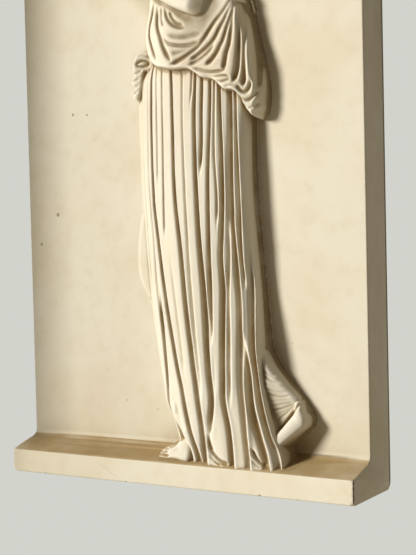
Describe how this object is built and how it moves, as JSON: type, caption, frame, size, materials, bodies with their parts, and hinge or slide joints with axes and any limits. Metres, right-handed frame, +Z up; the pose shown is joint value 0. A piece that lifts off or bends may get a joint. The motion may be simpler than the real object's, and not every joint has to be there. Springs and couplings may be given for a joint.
{
  "type": "plaster wall relief",
  "caption": "Tall plaster wall relief: a draped walking woman in profile on a plain panel with a projecting ledge, flat back for fixing to a wall.",
  "frame": {"origin": "middle of the flat back, where the relief is held against a wall", "axes": "+Z up, -Y out of the wall towards the viewer, +X to the right as seen from the front"},
  "size_m": [0.42, 0.0935, 0.81],
  "materials": {
    "painted_plaster": "satin"
  },
  "bodies": {
    "root": {"wall_relief": "painted_plaster"}
  },
  "joints": []
}
